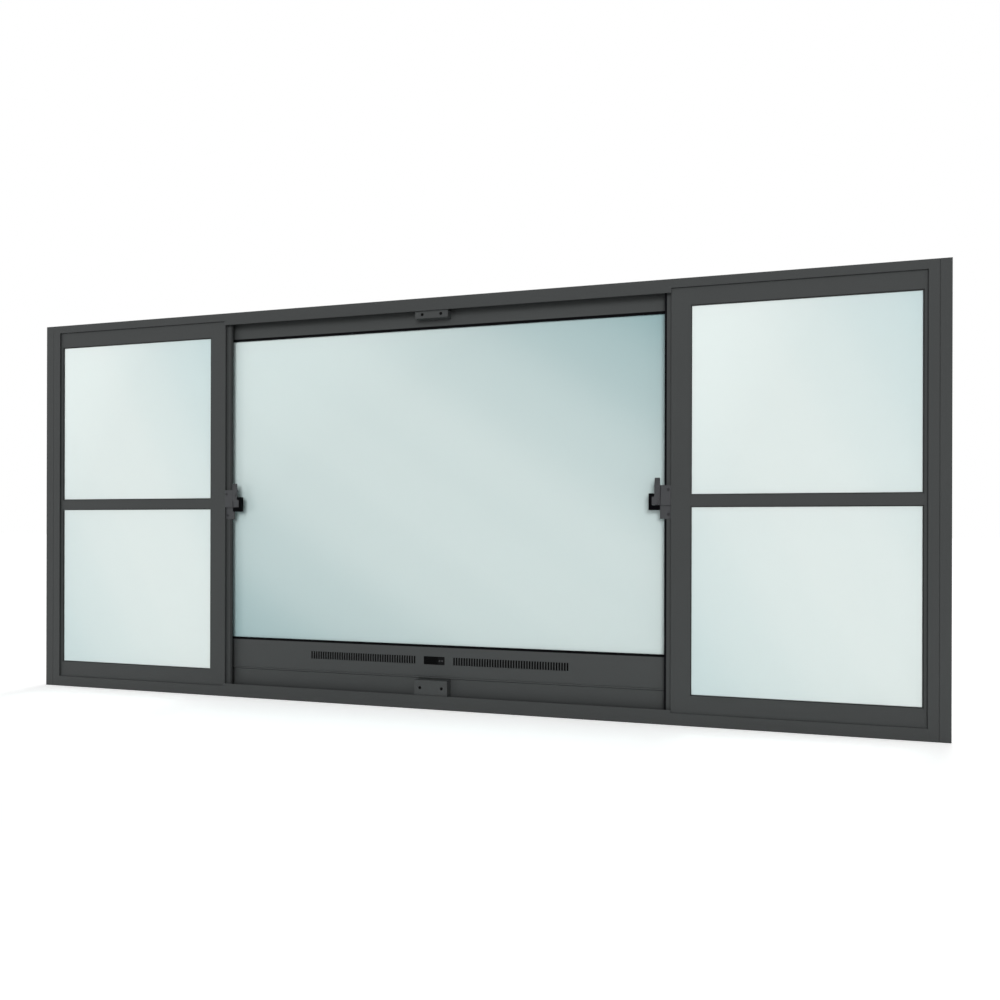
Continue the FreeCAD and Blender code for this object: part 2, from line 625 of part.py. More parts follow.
def sash_glass_spacers():
    """Spacer bars between the sheets of each pane."""
    strips = []
    for name, low, high in PANES:
        strips += ring(f"sash_spacer_{name}", f"{OUTER_SIGHT} - glass_bite", f"{MEETING_SIGHT} + glass_bite",
                       f"{low} - glass_bite", f"{high} + glass_bite", UNIT_FRONT + " + pane",
                       f"{UNIT_BACK} - ({UNIT_FRONT}) - 2 * pane", "spacer_bar")
    return group("sash_left_glass_spacers", strips)


def sash_gaskets():
    """Gaskets that grip the panes from the front and the back, in sight past the profile."""
    strips = []
    wide = "gasket_bite + sash_sight"
    for name, low, high in PANES:
        for side, place in (("front", INNER_FRONT), ("back", UNIT_BACK)):
            strips += ring(f"sash_gasket_{name}_{side}", f"{OUTER_SIGHT} - gasket_bite",
                           f"{MEETING_SIGHT} + gasket_bite", f"{low} - gasket_bite", f"{high} + gasket_bite",
                           place, "sash_gasket", wide)
    return group("sash_left_gaskets", strips)


def interlock_seal():
    """Soft seal along the free edge of the interlock fin."""
    return box("sash_left_interlock_seal", (MEETING_EDGE + " + interlock", FIN_FRONT, "sash_base"),
               ("seal_width", "seal_depth", SASH_HEIGHT))


def roller(label, place):
    """Grooved wheel on its axle, turned about the axle and stood on the track blade."""
    body = new_body(label)
    half, tread, axle = "wheel_width / 2", "tread_width / 2", "(sash_depth / 2 - sash_wall)"
    section = new_sketch(body, "wheel_section", "XY_Plane")
    add_loop(section, [
        ("0", f"-{axle}"), ("axle_radius", f"-{axle}"), ("axle_radius", f"-{half}"),
        ("wheel_flange", f"-{half}"), ("wheel_tread", f"-{tread}"), ("wheel_tread", tread),
        ("wheel_flange", half), ("axle_radius", half), ("axle_radius", axle), ("0", axle),
    ])
    turned = body.newObject("PartDesign::Revolution", "wheel")
    turned.Profile = section
    turned.ReferenceAxis = (section, ["V_Axis"])
    turned.Angle = 360
    body.Tip = turned
    body.setExpression("Placement.Base.x", words(place))
    body.setExpression("Placement.Base.y", words(SASH_MIDDLE))
    body.setExpression("Placement.Base.z", words("frame_box + track_height + wheel_tread + wheel_gap"))
    return body


def sash_rollers():
    outer = roller("roller_outer", OUTER_SIGHT + " + wheel_inset")
    inner = roller("roller_inner", MEETING_SIGHT + " - wheel_inset")
    return group("sash_left_rollers", [outer, inner])


PLATE_FACE = FIN_FRONT + " - latch_plate"
CASE_FACE = PLATE_FACE + " - case_depth"
STEP_FACE = PLATE_FACE + " - case_step_depth"
LEVER_FACE = STEP_FACE + " - lever_thick"
PLATE_TOP = "latch_place + latch_plate_height"
CASE_LOW = "latch_place + case_rise"
CASE_END = MEETING_EDGE + " + case_width"
LEVER_LEFT = CASE_END + " - lever_width"
TIP_LOW = CASE_LOW + " + lever_gap"
TIP_HIGH = CASE_LOW + " + lever_gap + tip_height"
TIP_END = CASE_END + " + tip_reach"


def latch_base():
    """Plate on the interlock fin, with a case that is stepped down where the lever lies on it."""
    body = new_body("latch_left_base")
    plate = rectangle(MEETING_EDGE, MEETING_EDGE + " + latch_plate_width", "latch_place", PLATE_TOP)
    pad(body, "plate", "XZ_Plane", [plate], "latch_plate", offset=f"-({FIN_FRONT})")
    wall = LEVER_LEFT + " - lever_gap"
    case = [
        (MEETING_EDGE, PLATE_FACE), (CASE_END, PLATE_FACE), (CASE_END, STEP_FACE), (wall, STEP_FACE),
        (wall, CASE_FACE + " + case_chamfer"), (wall + " - case_chamfer", CASE_FACE),
        (MEETING_EDGE + " + case_chamfer", CASE_FACE), (MEETING_EDGE, CASE_FACE + " + case_chamfer"),
    ]
    pad(body, "case", "XY_Plane", [case], "latch_plate_height - case_rise", offset=CASE_LOW)
    across = MEETING_EDGE + " + latch_screw_place"
    for side, face, up in (("lower", PLATE_FACE, "latch_place + latch_screw_end"),
                           ("upper", CASE_FACE, PLATE_TOP + " - latch_screw_end")):
        screw_holes(body, face, [(across, up)], "latch_screw", "latch_screw_head", "latch_screw_sink")
    return body


def latch_lever():
    """Finger lever on the step of the case, with its pivot boss and a tip that stands in the catch."""
    body = new_body("latch_left_lever")
    top = PLATE_TOP + " + lever_rise"
    outline = [
        (LEVER_LEFT, top), (CASE_END + " - lever_taper", top), (CASE_END, PLATE_TOP), (CASE_END, TIP_HIGH),
        (TIP_END, TIP_HIGH), (TIP_END, TIP_LOW), (CASE_END + " - tip_heel", TIP_LOW), (LEVER_LEFT, TIP_HIGH),
    ]
    pad(body, "grip", "XZ_Plane", [outline], "lever_thick", offset=f"-({STEP_FACE})")
    fillet(body, "soft_corners", "latch_round", lambda edge: along(edge, Y_AXIS))
    boss = new_sketch(body, "boss_outline", "XZ_Plane", f"-({LEVER_FACE})")
    add_circle(boss, LEVER_LEFT + " + lever_width / 2", TIP_HIGH + " + boss_rise", "boss_radius")
    pivot = body.newObject("PartDesign::Pad", "pivot_boss")
    pivot.Profile = boss
    pivot.setExpression("Length", words("boss_height"))
    body.Tip = pivot
    return body


def latch_catch():
    """Black catch that hooks round the lever's tip, with an arm under the case."""
    body = new_body("latch_left_catch")
    right = CASE_END + " + catch_width"
    low, high = "latch_place + catch_rise", "latch_place + catch_rise + catch_height"
    arm_end, hook_end = MEETING_EDGE + " + latch_plate_width + catch_gap", CASE_END + " + catch_gap"
    arm_top, hook_low, column = CASE_LOW + " - catch_gap", TIP_HIGH + " + catch_gap", TIP_END + " + catch_gap"
    outline = [
        (arm_end, low), (right, low), (right, high), (hook_end, high), (hook_end, hook_low),
        (column, hook_low), (column, arm_top), (arm_end, arm_top),
    ]
    deep = "latch_plate + case_depth + catch_proud"
    pad(body, "hook", "XZ_Plane", [outline], deep, offset=f"-({FIN_FRONT})")
    fillet(body, "soft_corners", "latch_round", lambda edge: along(edge, Y_AXIS))
    return body


def build():
    """Makes every sub-part and returns those that are written to a file."""
    fill_sheet()
    parts = [
        frame_bar("head"),
        frame_bar("sill"),
        group("cover_strips", [cover_strip("head"), cover_strip("sill")]),
        roller_track(),
        centre_top_rail(),
        ventilation_panel(),
        ventilation_housing(),
        vent_filters(),
        display_module(),
        centre_glass(),
        centre_glass_spacer(),
        centre_gaskets(),
        centre_glazing_beads(),
        glass_setting_blocks(),
        stop_blocks(),
    ]
    left_parts = [
        frame_jamb(),
        centre_stile(),
        sash_outer_stile(),
        sash_meeting_stile(),
        sash_top_rail(),
        sash_bottom_rail(),
        sash_glazing_bar(),
        sash_glass(),
        sash_glass_spacers(),
        sash_gaskets(),
        interlock_seal(),
        sash_rollers(),
        latch_base(),
        latch_lever(),
        latch_catch(),
    ]
    parts += left_parts
    parts += [mirrored(piece, piece.Label.replace("left", "right")) for piece in left_parts]
    doc.recompute()
    return parts


def check(parts):
    """Stops if an object failed or a sub-part has no valid shape."""
    for item in doc.Objects:
        for mark in ("Invalid", "Error"):
            if mark in item.State:
                raise RuntimeError(f"{item.Label} is marked {mark}")
    for piece in parts:
        if piece.Shape.isNull() or not piece.Shape.isValid() or not piece.Shape.Solids:
            raise RuntimeError(f"{piece.Label} has no valid solid")


def write(parts):
    os.makedirs("parts", exist_ok=True)
    for piece in parts:
        piece.Shape.exportStep(f"parts/{piece.Label}.step")
        print(piece.Label, len(piece.Shape.Solids), round(piece.Shape.Volume / 1000, 1), "cm3")


pieces = build()
check(pieces)
write(pieces)
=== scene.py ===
# %% [markdown]
# # Dressing a wide sliding window
# The window has a fixed glass in the middle over a row of vents, and a sliding sash on each side.
# Its profiles, glass and fittings come ready made from the frame, in metres and in their real
# places. This lesson gives every one of them a finish, adds the small pieces that are too fine for
# the frame, and sets up the floor, the light and the camera. The frame is loaded first.

import math

import bmesh
import bpy
from mathutils import Matrix, Vector


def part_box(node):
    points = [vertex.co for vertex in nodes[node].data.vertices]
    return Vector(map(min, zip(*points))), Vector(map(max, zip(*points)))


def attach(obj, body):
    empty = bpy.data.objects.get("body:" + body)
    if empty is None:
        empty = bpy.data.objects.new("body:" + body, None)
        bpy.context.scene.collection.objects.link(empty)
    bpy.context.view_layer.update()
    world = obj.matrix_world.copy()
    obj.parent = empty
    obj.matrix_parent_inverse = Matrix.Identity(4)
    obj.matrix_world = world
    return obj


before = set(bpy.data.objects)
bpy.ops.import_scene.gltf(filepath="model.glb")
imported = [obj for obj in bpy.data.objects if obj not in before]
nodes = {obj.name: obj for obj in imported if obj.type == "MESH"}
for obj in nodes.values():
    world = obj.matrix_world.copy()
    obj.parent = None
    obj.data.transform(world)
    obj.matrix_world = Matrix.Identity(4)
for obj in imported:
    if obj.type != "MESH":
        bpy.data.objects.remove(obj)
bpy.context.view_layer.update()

# %% [markdown]
# ## Colours
# A colour picked from a screen is stored with a curve, and a shader wants the plain amount of
# light. The paint here is a dark grey with a hint of green, and the glass a pale blue green.
# Writing each one as it looks on a screen keeps the numbers easy to judge, so one function
# converts them.

# %% Screen colours to light
def screen(red, green, blue):
    """A colour as a screen shows it, from 0 to 255, turned into amounts of light."""
    parts = [value / 255 for value in (red, green, blue)]
    return tuple(part / 12.92 if part <= 0.04045 else ((part + 0.055) / 1.055) ** 2.4
                 for part in parts)


def scaled(colour, factor):
    """The same colour with more or less light."""
    return tuple(part * factor for part in colour)


COAT = screen(58, 60, 60)
LATCH_COAT = screen(61, 62, 64)
print("coat:", [round(part, 4) for part in COAT])

# %% [markdown]
# ## Shader maths as arithmetic
# A material is a net of small nodes, and a sum in it is a node too. Written out one by one, three
# sums fill a page. So one small class stands for a socket's value and lends it Python's operators,
# with a number on either side of them.
# A colour goes through a Mix node. Its sockets share their names, so they are picked by number:
# 0 is the share, 6 and 7 are the two colours, and 2 is the mixed colour that comes out.

# %% A socket's value
class Signal:
    """The value of one socket, with Python's operators for plain numbers."""

    def __init__(self, recipe, socket):
        self.recipe = recipe
        self.socket = socket

    def math(self, operation, *values):
        return self.recipe.add("ShaderNodeMath", {"operation": operation}, dict(enumerate(values)))

    def __add__(self, other):
        return self.math("ADD", self, other)

    def __sub__(self, other):
        return self.math("SUBTRACT", self, other)

    def __rsub__(self, other):
        return self.math("SUBTRACT", other, self)

    def __mul__(self, other):
        return self.math("MULTIPLY", self, other)

    def __pow__(self, other):
        return self.math("POWER", self, other)

    def __rpow__(self, other):
        return self.math("POWER", other, self)

    __radd__ = __add__
    __rmul__ = __mul__

    def at_least(self, other):
        return self.math("MAXIMUM", self, other)

    def at_most(self, other):
        return self.math("MINIMUM", self, other)

    def above(self, other):
        """1 where this value is the larger one, else 0."""
        return self.math("GREATER_THAN", self, other)

    def sine(self):
        return self.math("SINE", self)

    def swing(self, amount):
        """How far a noise is from its middle, 0.5, times an amount."""
        return (self - 0.5) * amount

    def side(self, name):
        """Another output of the node that this value comes from."""
        return Signal(self.recipe, self.socket.node.outputs[name])

    def blend(self, first, second):
        """Mixes two colours, with this value as the share of the second."""
        return self.recipe.add("ShaderNodeMix", {"data_type": "RGBA"},
                               {0: self, 6: first, 7: second}, output=2)

    def shades(self, colour, dark, light):
        """The colour, from its dark shade where this value is 0 to its light shade at 1."""
        return self.blend(scaled(colour, dark), scaled(colour, light))


print("a value with operators")

# %% [markdown]
# ## One call for any node
# Making a node by hand takes a line for the node, one for each setting and one for each link.
# A second class holds the material and does all of that in a single call: the kind of node, its
# settings, and what goes into its sockets. The few nets that every finish needs, such as noise at
# a real scale, are short calls on top of it, so a finish reads like a recipe.

# %% A material that is being made
EVEN = (1.0, 1.0, 1.0)


class Recipe:
    """A material, or the world, and the one way to put a node in it."""

    def __init__(self, name, world=None):
        self.material = world or bpy.data.materials.new(name)
        self.material.use_nodes = True
        self.tree = self.material.node_tree
        self.tree.nodes.clear()

    def add(self, kind, settings=None, sockets=None, output=0):
        """Makes a node of a kind, sets it up, then fills its sockets with values or links."""
        node = self.tree.nodes.new(kind)
        for name, value in (settings or {}).items():
            setattr(node, name, value)
        for name, value in (sockets or {}).items():
            socket = node.inputs[name]
            if isinstance(value, Signal):
                self.tree.links.new(value.socket, socket)
            elif socket.type == "RGBA":
                socket.default_value = (*value, 1)
            else:
                socket.default_value = value
        return Signal(self, node.outputs[output]) if node.outputs else None

    def place(self):
        """Where a point of the object is, in metres, so that a pattern keeps its real scale."""
        return self.add("ShaderNodeTexCoord", output="Object")

    def noise(self, scale, detail=2.0, stretch=EVEN):
        """Soft noise with so many bumps a metre, drawn out where the stretch is under 1."""
        spot = self.add("ShaderNodeMapping", {}, {"Vector": self.place(), "Scale": stretch})
        return self.add("ShaderNodeTexNoise", {}, {
            "Vector": spot, "Scale": scale, "Detail": detail})

    def bump(self, height, strength, depth, **more):
        """A small relief for the light alone, as deep as the depth in metres."""
        return self.add("ShaderNodeBump", {}, {
            "Strength": strength, "Distance": depth, "Height": height, **more})

    def mix(self, share, first, second):
        """Two shaders, with the share of the second one."""
        return self.add("ShaderNodeMixShader", {}, {0: share, 1: first, 2: second})

    def finish(self, shader):
        """Sends the shader to the output and hands the material back."""
        self.add("ShaderNodeOutputMaterial", {}, {"Surface": shader})
        return self.material

    def solid(self, sockets):
        """The finished material of a solid surface, from the sockets of Blender's main shader."""
        return self.finish(self.add("ShaderNodeBsdfPrincipled", {}, sockets))


print("a material whose nodes come from one call")

# %% [markdown]
# ## Powder coat
# The profiles are aluminium with a baked powder paint. Close up it has a fine grain and a faint
# orange-peel swell, its tone drifts a little along a bar, and it is thinner and lighter on sharp
# edges. An image could carry that, but noise at a real scale stays sharp on a bar nearly three
# metres long. A bevel node rounds the edges for the light alone, and where the rounded and the
# flat direction part, there is an edge to lighten.

# %% Powder coat
EDGE_RADIUS, EDGE_GAIN, EDGE_WEAR = 0.0007, 3.5, 0.35
PAINT_DARK, PAINT_LIGHT, PAINT_WORN = 0.6, 1.4, 2.2
SWELL_PART, GRAIN_PART = 0.7, 0.3


def edge_share(recipe, rounded):
    """0 on a flat face, rising towards 1 at a sharp edge."""
    flat = recipe.add("ShaderNodeNewGeometry", output="Normal")
    alike = recipe.add("ShaderNodeVectorMath", {"operation": "DOT_PRODUCT"},
                       {0: rounded, 1: flat}, output="Value")
    return ((1 - alike) * EDGE_GAIN).at_most(1.0)


def powder_coat(name, colour, roughness=0.5, drift=0.22):
    """Grained paint, worn a little at its edges, with so much drift in its tone."""
    recipe = Recipe(name)
    cloud = recipe.noise(scale=2.2, detail=3.0)
    swell, grain = recipe.noise(scale=240.0), recipe.noise(scale=1500.0)
    rounded = recipe.add("ShaderNodeBevel", {"samples": 4}, {"Radius": EDGE_RADIUS})
    tone = cloud.swing(drift) + grain.swing(0.3) + 0.5
    paint = tone.shades(colour, PAINT_DARK, PAINT_LIGHT)
    worn = (edge_share(recipe, rounded) * EDGE_WEAR).blend(paint, scaled(colour, PAINT_WORN))
    height = swell * SWELL_PART + grain * GRAIN_PART
    return recipe.solid({
        "Base Color": worn, "Roughness": grain.swing(0.25) + roughness,
        "Specular IOR Level": 0.3,
        "Normal": recipe.bump(height, strength=0.35, depth=0.00012, Normal=rounded)})


coats = {
    "frame_coat": powder_coat("frame_powder_coat", COAT),
    "sash_coat": powder_coat("sash_powder_coat", COAT),
    # Painted light: the centre and the stop blocks take the frame's paint made lighter, for faces
    # in the shaded recess.
    "centre_coat": powder_coat("centre_powder_coat", scaled(COAT, 1.15)),
    "stop_coat": powder_coat("stop_powder_coat", scaled(COAT, 1.1), roughness=0.44),
    "latch_coat": powder_coat("latch_powder_coat", LATCH_COAT, roughness=0.38, drift=0.1),
}
print("coats:", list(coats))

# %% [markdown]
# ## Metal that isn't painted
# The sash rollers run on a bare aluminium blade, and bright bars keep the sheets of glass apart.
# Rolling draws fine lines along the blade, so its noise is drawn out along the bar, and the noise
# changes the roughness as well as the tone.

# %% Bare metal
ALONG_X = (0.01, 1.0, 1.0)


def worn_metal(name, colour, roughness, stretch):
    """Bare metal with fine lines and faint stains."""
    recipe = Recipe(name)
    lines = recipe.noise(scale=900.0, detail=3.0, stretch=stretch)
    stain = recipe.noise(scale=9.0, detail=3.0)
    tone = stain.swing(0.5) + lines.swing(0.5) + 0.5
    return recipe.solid({
        "Base Color": tone.shades(colour, dark=0.7, light=1.0), "Metallic": 1.0,
        "Roughness": lines.swing(0.5) + roughness,
        "Normal": recipe.bump(lines, strength=0.2, depth=0.00005)})


coats["track_metal"] = worn_metal("rolled_aluminium", (0.62, 0.63, 0.64), 0.34, ALONG_X)
coats["spacer_metal"] = worn_metal("spacer_aluminium", (0.82, 0.83, 0.83), 0.4, EVEN)
print("metals: rolled and bright aluminium")

# %% [markdown]
# ## Rubber, nylon and fleece
# The glass sits in black rubber, brush seals close the gaps, and the rollers are pale nylon.
# They differ in tone, in how much they shine and in the size of their grain. One function
# takes those three, which keeps the soft finishes alike in how they are made.

# %% Moulded and soft finishes
def moulded(name, colour, roughness, grain_scale, depth=0.0001, shine=0.3, stretch=EVEN):
    """A soft finish with so many grains a metre, each as deep as the depth in metres."""
    recipe = Recipe(name)
    grain = recipe.noise(grain_scale, detail=3.0, stretch=stretch)
    cloud = recipe.noise(scale=12.0)
    tone = grain.swing(0.9) + cloud.swing(0.5) + 0.5
    return recipe.solid({
        "Base Color": tone.shades(colour, dark=0.6, light=1.5),
        "Roughness": grain.swing(0.3) + roughness, "Specular IOR Level": shine,
        "Normal": recipe.bump(grain, strength=0.5, depth=depth)})


UPRIGHT_PILE = (1.0, 1.0, 0.12)
BLACK_RUBBER = (0.002, 0.002, 0.0025)


def brush(name, colour, shine):
    """Upright fibres: grain that is drawn out along the height."""
    return moulded(name, colour, 0.85, 1500.0, depth=0.0006, shine=shine, stretch=UPRIGHT_PILE)


coats["gasket_rubber"] = moulded("glazing_rubber", BLACK_RUBBER, 0.6, 700.0, shine=0.04)
coats["seal_rubber"] = brush("brush_seal", (0.005, 0.005, 0.006), shine=0.03)
coats["roller_nylon"] = moulded("roller_nylon", (0.5, 0.5, 0.47), 0.4, 300.0)
coats["catch_nylon"] = moulded("catch_nylon", BLACK_RUBBER, 0.55, 900.0, shine=0.02)
coats["block_plastic"] = moulded("setting_block", (0.03, 0.03, 0.032), 0.6, 500.0)
sash_rubber = moulded("sash_rubber", (0.03, 0.031, 0.031), 0.6, 700.0, shine=0.2)
# Painted light: the left interlock seal takes a grey copy of the black brush seal, for its side
# that catches the light.
painted_lit_brush = brush("grey_brush_seal", (0.036, 0.038, 0.038), shine=0.1)
print("finishes made:", len(coats))

# %% [markdown]
# ## Filter fleece
# Behind the slots lies a black filter. Seen through a 5 mm slot it is a dark, open mat of fibres,
# so a cell pattern opens it up and deepens it, and nothing on it shines.

# %% Filter fleece
def fleece(name, colour):
    """A matt mat of cells and fibres."""
    recipe = Recipe(name)
    cells = recipe.add("ShaderNodeTexVoronoi", {}, {
        "Vector": recipe.place(), "Scale": 420.0}, output="Distance")
    fibre = recipe.noise(scale=1800.0, detail=3.0)
    height = cells * 0.6 + fibre * 0.4
    return recipe.solid({
        "Base Color": height.shades(colour, dark=0.3, light=1.8), "Roughness": 0.95,
        "Specular IOR Level": 0.0,
        "Normal": recipe.bump(height, strength=0.9, depth=0.0015)})


coats["filter_mesh"] = fleece("filter_fleece", (0.003, 0.003, 0.003))
print("fleece for the filters")

# %% [markdown]
# ## The display
# A small black panel sits between the two rows of slots. It is glossy, with faint wipe marks that
# only show in its shine. The marks go into the roughness, because a clean black has no colour
# to vary.

# %% Display gloss
WIPED_ALONG = (0.3, 1.0, 1.0)


def display_gloss(name, colour):
    """Glossy black with wipe marks in its roughness."""
    recipe = Recipe(name)
    wipes = recipe.noise(scale=60.0, detail=3.0, stretch=WIPED_ALONG)
    tone = recipe.noise(scale=400.0)
    return recipe.solid({
        "Base Color": tone.shades(colour, dark=0.6, light=1.4),
        "Roughness": (wipes - 0.4).at_least(0.0) * 0.4 + 0.08, "Specular IOR Level": 0.04})


coats["display_gloss"] = display_gloss("display_gloss", (0.0012, 0.0012, 0.0014))
key_gloss = display_gloss("display_keys", (0.006, 0.006, 0.0065))
key_print = moulded("key_print", (0.05, 0.05, 0.052), 0.5, 1500.0, depth=0.00002, shine=0.1)
print("display gloss and print for its keys")

# %% [markdown]
# ## Steel of the screws
# The screws of the stop blocks are blackened steel, and those of the latches a dark grey. Both are
# coated, so they are made as a soft finish with a very fine grain instead of as bare metal.

# %% Finishes for the screws
black_steel = moulded("blackened_screw", (0.004, 0.004, 0.004), 0.6, 2500.0,
                      depth=0.00005, shine=0.05)
grey_steel = moulded("grey_screw", (0.028, 0.028, 0.03), 0.5, 2500.0, depth=0.00005)
print("two finishes for screws")

# %% [markdown]
# ## Tinted glass
# Each pane is two sheets with a gap between them, in a pale blue green tint. A painted reflection
# deepens the tint towards the upper right and the lower left corner: a gradient in the glass's own
# colour stands in for reflected light, with no room behind the glass to reflect.
# The distance from the falling diagonal gives the gradient, a slow wave puts faint bands of painted
# reflection in it, and painted light makes the upper left corner a little paler than the rest.
# The panes in the picture are even and milky up to their edges, so the front sheet scatters most
# of its light, and the rear sheet is clear. One switch on depth picks the sheet.
# Lamps should reach through glass, and a bent ray can't carry them, so rays that look for
# a lamp pass through a plain see-through shader in the pale tint.

# %% Tinted glass
MILKY = 0.9
# LOWER_FALL and the bands below shape the painted reflection in the glass's own colour.
LOWER_FALL = 0.9
# CORNER_PAINTED_LIGHT is painted light: how much paler the upper left corner is made.
CORNER_FALL, CORNER_PAINTED_LIGHT = 1.6, 1.08
BAND_PACE, BAND_SHARE, HAZE_SHARE = 21.0, 0.022, 0.05
FILM_SWING, FILM_ROUGHNESS = 0.02, 0.012
GLASS_INDEX = 1.45


def tinted_glass_with_painted_reflection(name, box, pale, deep, reach, fall):
    """Tinted glass; past the reach from its diagonal a painted reflection deepens it by a power."""
    (left, front, low), (right, rear, high) = box
    recipe = Recipe(name)
    x = recipe.add("ShaderNodeSeparateXYZ", {}, {"Vector": recipe.place()})
    y, z = x.side("Y"), x.side("Z")
    across = (x - left) * (1 / (right - left))
    down = (high - z) * (1 / (high - low))
    slope = across - down
    # Painted reflection: the tint deepens with the distance from the falling diagonal.
    away = slope.at_least(slope * -LOWER_FALL)
    depth = ((away - reach).at_least(0.0) * (1 / (1 - reach))) ** fall
    # Painted reflection: faint bands along the diagonal.
    bands = (slope * BAND_PACE).sine() * BAND_SHARE
    haze = recipe.noise(scale=1.1).swing(HAZE_SHARE)
    share = (depth + bands + haze).at_least(0.0).at_most(1.0)
    # Painted light: the upper left corner is made paler, against the shade of the profiles.
    corner = (1 - (across + down) * CORNER_FALL).at_least(0.0)
    tint = corner.blend(share.blend(pale, deep), scaled(pale, CORNER_PAINTED_LIGHT))
    film = recipe.noise(scale=5.0, detail=3.0).swing(FILM_SWING) + FILM_ROUGHNESS
    milky, clear = (recipe.add("ShaderNodeBsdfPrincipled", {}, {
        "Base Color": tint, "Roughness": film, "IOR": GLASS_INDEX,
        "Transmission Weight": clearness}) for clearness in (1 - MILKY, 1.0))
    glass = recipe.mix(y.above((front + rear) / 2), milky, clear)
    see_through = recipe.add("ShaderNodeBsdfTransparent", {}, {"Color": pale})
    lamp_ray = recipe.add("ShaderNodeLightPath", output="Is Shadow Ray")
    return recipe.finish(recipe.mix(lamp_ray, glass, see_through))


print("glass of two sheets, the front one milky by", MILKY)

# %% [markdown]
# ## The three panes
# The centre glass is darker than the two in the sashes, and its painted reflection changes more.
# Each pane gets a glass of its own, because the gradient of painted reflection is laid over that
# pane's box. A tint is easiest to read as the colour that shows through the whole pane, so one
# function works out the share of a sheet.

# %% The three panes
def sheet_tint(red, green, blue):
    """One sheet's tint: white light that has passed two such sheets has the screen colour."""
    return tuple(part ** 0.5 for part in screen(red, green, blue))


# The second tint of each pair is the deep end of the painted reflection.
CENTRE_TINTS = sheet_tint(179, 199, 197), sheet_tint(84, 127, 132)
SIDE_TINTS = sheet_tint(203, 217, 214), sheet_tint(161, 191, 193)
centre_pane = tinted_glass_with_painted_reflection("centre_glass_tint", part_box("centre_glass"), *CENTRE_TINTS,
                           reach=0.12, fall=1.5)
left_pane = tinted_glass_with_painted_reflection("left_glass_tint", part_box("sash_left_glass"), *SIDE_TINTS,
                         reach=0.1, fall=1.4)
right_pane = tinted_glass_with_painted_reflection("right_glass_tint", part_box("sash_right_glass"), *SIDE_TINTS,
                          reach=0.1, fall=1.4)
print("panes:", centre_pane.name, left_pane.name, right_pane.name)

# %% [markdown]
# ## Give every node its finish
# The frame's record says which finish each node takes, and each node already has one material slot
# with that name. Putting the new material in the slot changes the look and leaves the mesh alone.

# %% Finishes on the frame's nodes
special = {
    "centre_glass": centre_pane, "sash_left_glass": left_pane, "sash_right_glass": right_pane,
    "sash_left_gaskets": sash_rubber, "sash_right_gaskets": sash_rubber,
    # The left seal's grey is painted light.
    "sash_left_interlock_seal": painted_lit_brush,
}
for name, node in nodes.items():
    for slot in node.material_slots:
        slot.material = special.get(name) or coats[slot.material.name]
print("dressed nodes:", len(nodes))

# %% [markdown]
# ## From loops to a shape
# Screw heads, keys and ridges are all too fine for the frame, and all of them are made alike: one
# loop of points after another, joined by four-sided faces. A curve or a modifier could make some
# of them, but a mesh that is built from its points has no face too many. So a few small helpers
# come first, for a round loop, for the skin between loops, and for a shape with both ends closed.

# %% Mesh helpers
RING_POINTS = 24


def add_ring(mesh, centre, radius, depth):
    """A ring of points round a line that runs front to rear through the centre."""
    turns = [2 * math.pi * i / RING_POINTS for i in range(RING_POINTS)]
    points = [Vector((radius * math.cos(turn), depth, radius * math.sin(turn))) for turn in turns]
    return [mesh.verts.new(centre + point) for point in points]


def pairs(loop):
    """Each point of a closed loop with the next one."""
    return zip(loop, loop[1:] + loop[:1])


def skin(mesh, loops):
    """Four-sided faces from each loop of points to the next one."""
    for first, second in zip(loops, loops[1:]):
        for (a, b), (c, d) in zip(pairs(first), pairs(second)):
            mesh.faces.new((a, b, d, c))


def closed(mesh, loops):
    """A skin over all the loops and a flat face on each end."""
    skin(mesh, loops)
    for end in (loops[0], loops[-1]):
        mesh.faces.new(end)


print("points in a ring:", RING_POINTS)

# %% [markdown]
# ## From a mesh to a piece
# A mesh shows only through an object that is linked to the scene. A piece of the window also
# needs to say which finish's slot it belongs to and which body it rides on. Nothing here moves on
# a joint, so all of them ride on the root.

# %% From a mesh to a piece
def new_object(name, data):
    """An object in the scene that carries a mesh, a lamp or a camera."""
    made = bpy.data.objects.new(name, data)
    bpy.context.scene.collection.objects.link(made)
    return made


def mesh_object(name, mesh, material):
    """A finished mesh in one material, as an object in the scene."""
    data = bpy.data.meshes.new(name)
    mesh.to_mesh(data)
    mesh.free()
    data.materials.append(material)
    return new_object(name, data)


def add_piece(name, mesh, material):
    """Turns a finished mesh into a piece of the window."""
    bmesh.ops.recalc_face_normals(mesh, faces=mesh.faces)
    piece = mesh_object(name, mesh, material)
    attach(piece, "root")


print("small pieces will ride on the root, beside", len(nodes), "nodes")

# %% [markdown]
# ## Screws
# The stop blocks and the latches are held by small cross-head screws, sunk in their holes.
# A screw is a turned shape with a cross pressed into it. A boolean would cut the cross, but it
# leaves ragged faces, so the head is built face by face: rings for the rim, then a cross of twelve
# corners. The flat between the last ring and the cross is filled by Blender's own triangle filler.

# %% A cross-head screw
HEAD_STEPS = ((0.6, 1.0), (1.0, 0.35), (1.0, 0.2), (0.86, 0.0))
CROSS_ARM, CROSS_HALF, CROSS_TAPER, CROSS_DEPTH = 0.56, 0.13, 0.6, 0.55


